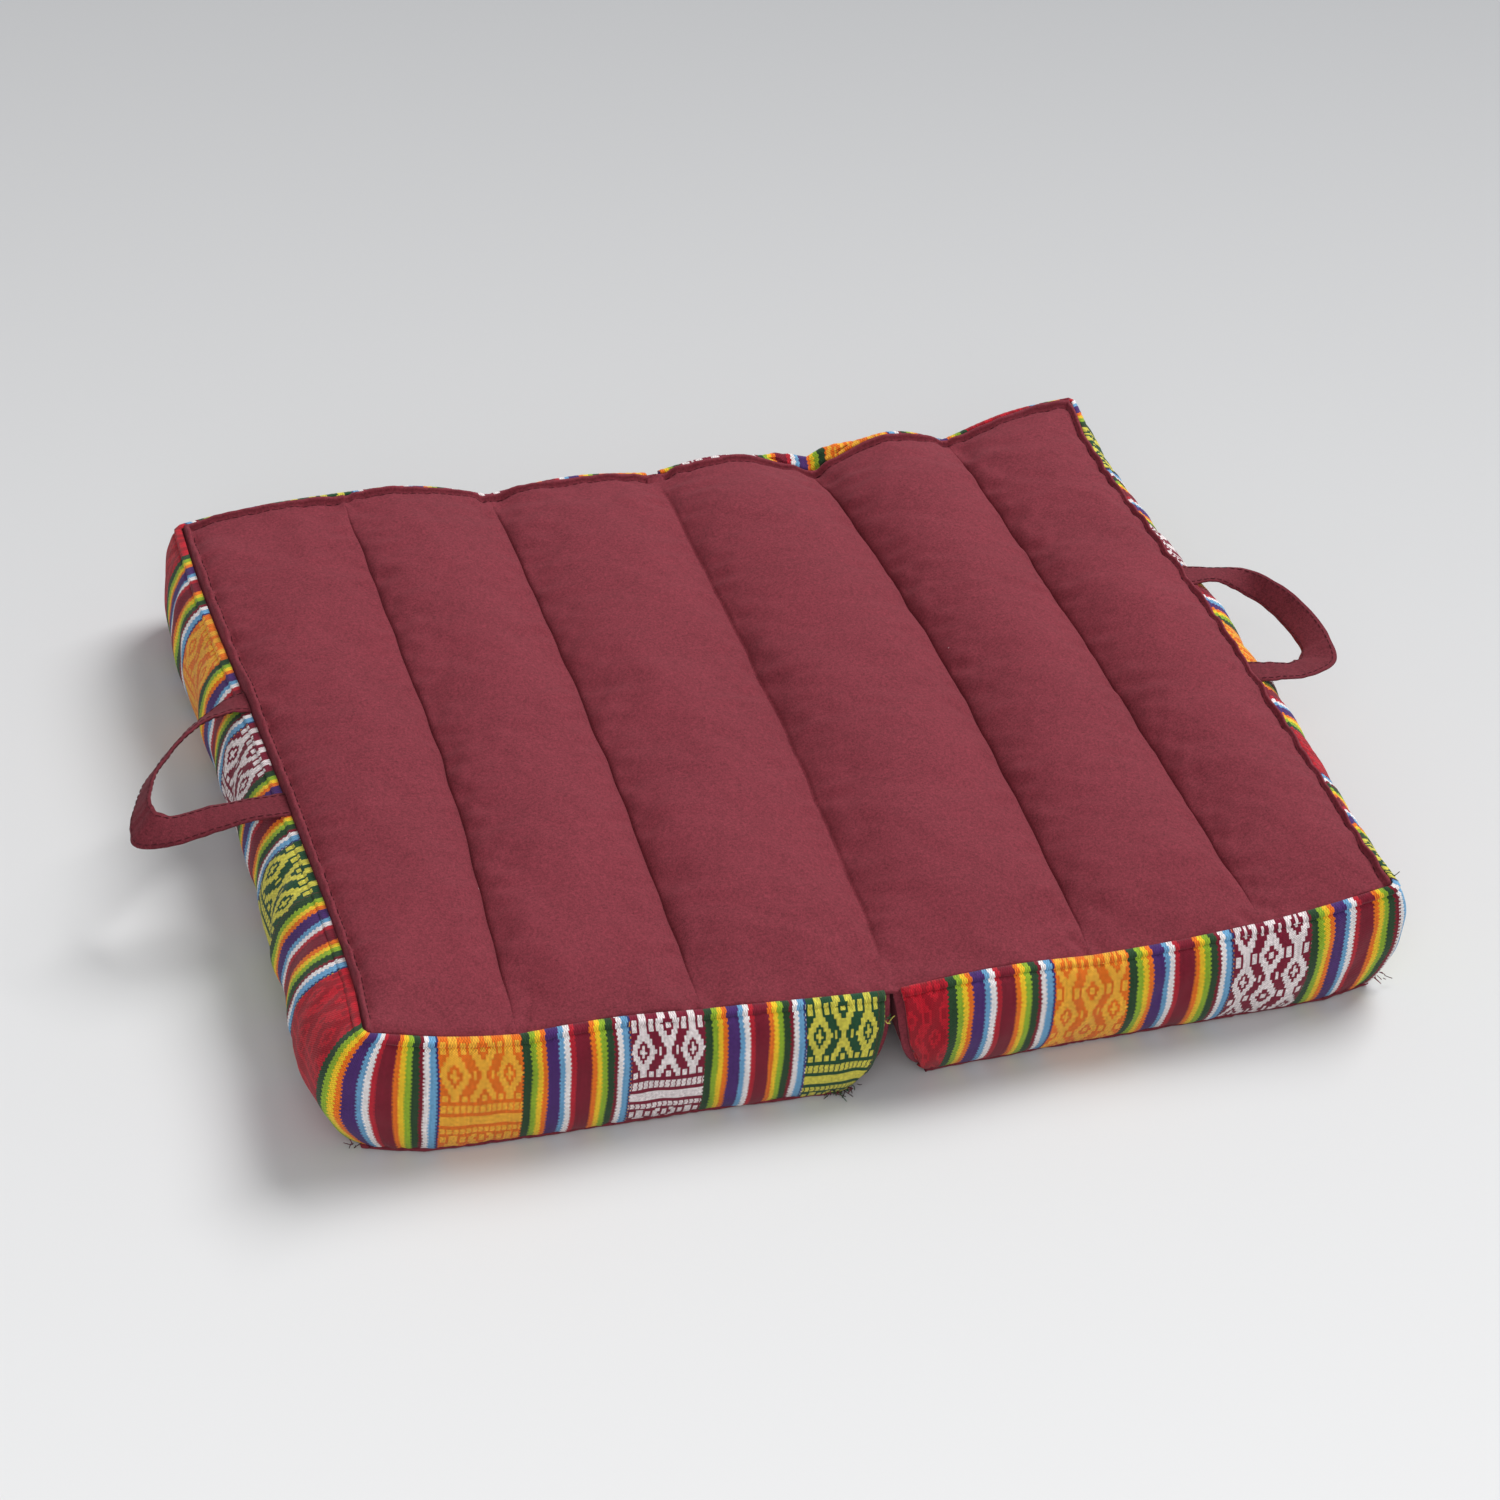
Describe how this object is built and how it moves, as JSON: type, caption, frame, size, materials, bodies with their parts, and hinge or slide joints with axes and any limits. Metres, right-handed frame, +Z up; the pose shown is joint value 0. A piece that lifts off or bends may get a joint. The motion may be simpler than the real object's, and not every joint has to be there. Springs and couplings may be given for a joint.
{
  "type": "folding meditation cushion",
  "caption": "Folding floor cushion lying open: two filled pads with sewn channels, hinged by the top cloth, woven boxing bands and strap handles",
  "frame": {"origin": "middle of the whole outline, handles counted, on the surface that the cushion lies on", "axes": "+X to the right across the six channels, from handle to handle; +Y along the channels from front to back; +Z up"},
  "size_m": [0.521, 0.3576, 0.0641],
  "materials": {
    "maroon_cotton": "plain close-woven cotton, matt, maroon",
    "maroon_strap": "the same cotton, folded and stitched into a flat strap",
    "striped_weave": "handwoven cotton, warp stripes in many colours with blocks of small diamonds"
  },
  "bodies": {
    "root": {"left_pad": "maroon_cotton", "right_pad": "maroon_cotton", "fold_strip": "maroon_cotton", "left_band": "striped_weave", "right_band": "striped_weave", "left_handle": "maroon_strap", "right_handle": "maroon_strap"}
  },
  "joints": []
}
